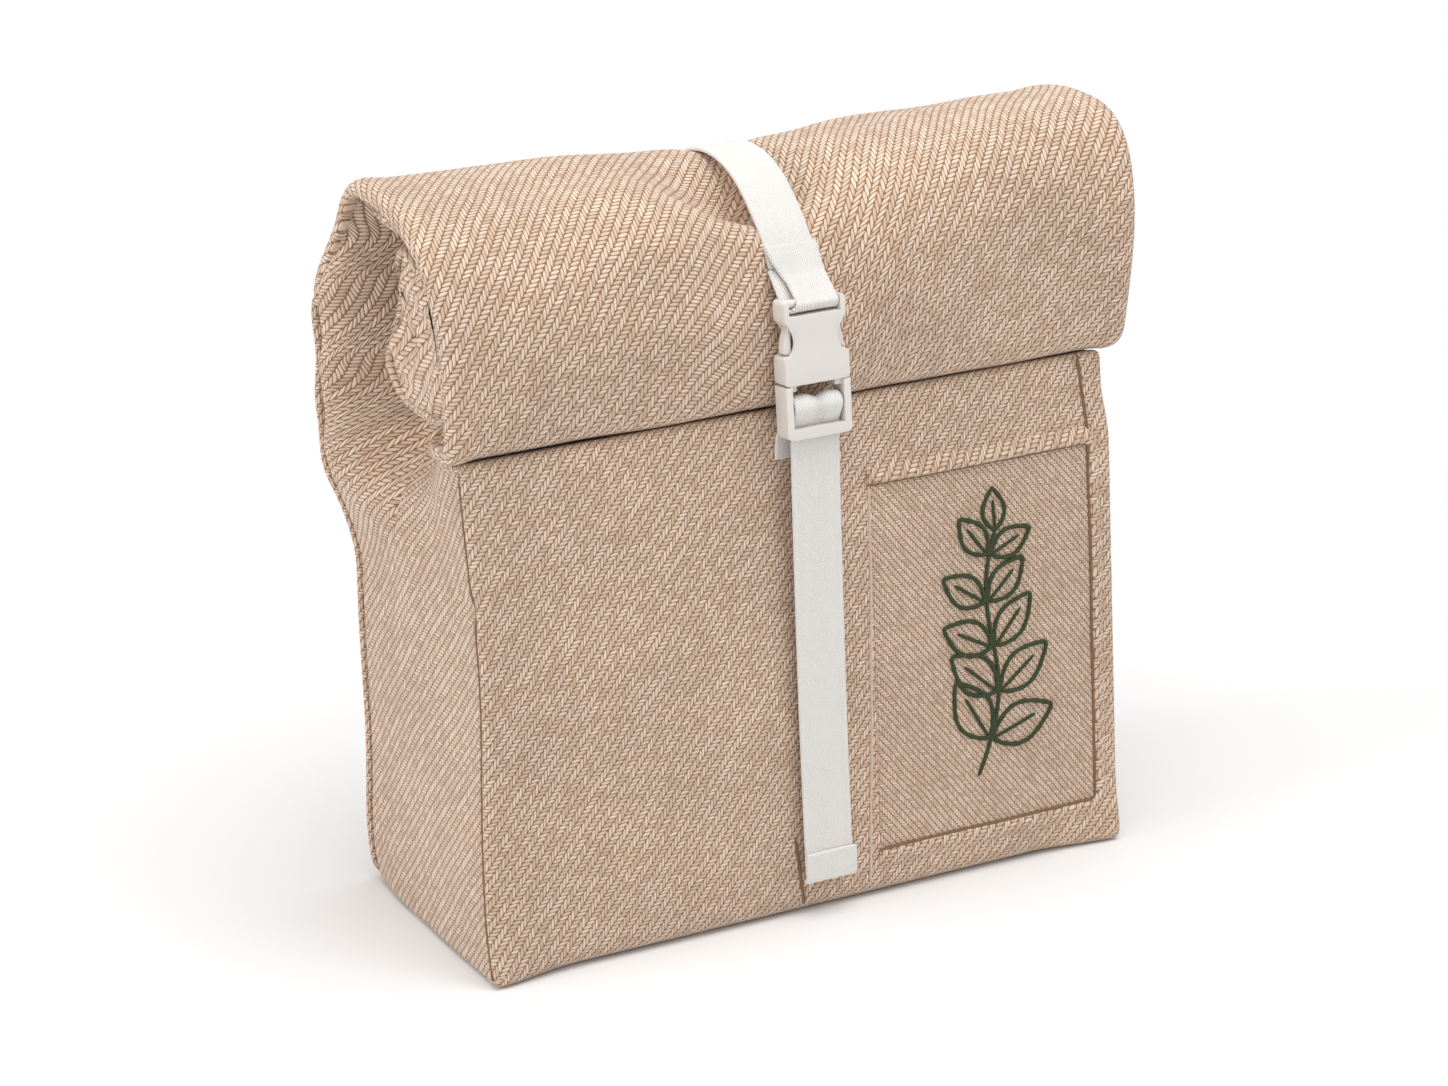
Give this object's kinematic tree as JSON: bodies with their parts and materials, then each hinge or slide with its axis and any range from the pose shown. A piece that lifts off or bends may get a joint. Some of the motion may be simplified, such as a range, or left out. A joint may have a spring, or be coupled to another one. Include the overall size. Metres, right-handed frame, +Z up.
{
  "type": "roll-top lunch bag",
  "caption": "Soft roll-top lunch bag: a sewn twill box whose rolled top lifts on its back edge once the side-release buckle on its strap is opened.",
  "frame": {"origin": "middle of the base, on the face that the bag stands on", "axes": "+Z up, -Y towards the front with the buckle, +X to the right seen from the front"},
  "size_m": [0.272, 0.1161, 0.278],
  "materials": {
    "twill": "thick herringbone twill, matt, beige",
    "lining": "plain woven, pale",
    "board": "matt sheet",
    "webbing": "white herringbone tape",
    "buckle": "off-white, satin moulded"
  },
  "bodies": {
    "bag": {"base_panel": "twill", "base_board": "board", "base_lining": "lining", "front_panel": "twill", "back_panel": "twill", "left_gusset": "twill", "right_gusset": "twill", "front_lining": "lining", "back_lining": "lining", "left_lining": "lining", "right_lining": "lining", "front_patch": "twill", "rear_strap": "webbing", "anchor_strap": "webbing", "plug_frame": "buckle"},
    "roll_top": {"roll_outer_wrap": "twill", "roll_inner_turn": "twill", "over_strap": "webbing"},
    "upper_strap": {"socket_loop": "webbing", "buckle_socket": "buckle"},
    "left_arm": {"left_release_arm": "buckle"},
    "right_arm": {"right_release_arm": "buckle"},
    "tail": {"strap_tail": "webbing"}
  },
  "joints": [
    {"name": "roll_lift", "type": "hinge", "parent": "bag", "child": "roll_top", "pos_m": [0, 0.0582, 0.22615], "axis": [-1, 0, 0], "range_deg": [0, 115], "deforming": ["left_release_arm", "right_release_arm"]},
    {"name": "buckle_release", "type": "slide", "parent": "roll_top", "child": "upper_strap", "axis": [0, 0.1045, 0.9945], "range_m": [0, 0.024], "deforming": ["left_release_arm", "right_release_arm"]},
    {"name": "left_arm_press", "type": "hinge", "parent": "bag", "child": "left_arm", "pos_m": [-0.0068, -0.04502, 0.2032], "axis": [0, 0.9945, -0.1045], "range_deg": [0, 13], "stiffness_Nm_per_rad": 0.02},
    {"name": "right_arm_press", "type": "hinge", "parent": "bag", "child": "right_arm", "pos_m": [0.0108, -0.04502, 0.2032], "axis": [0, -0.9945, 0.1045], "range_deg": [0, 13], "stiffness_Nm_per_rad": 0.02},
    {"name": "tail_swing", "type": "hinge", "parent": "bag", "child": "tail", "pos_m": [0.002, -0.04778, 0.18076], "axis": [-1, 0, 0], "range_deg": [0, 90]}
  ]
}
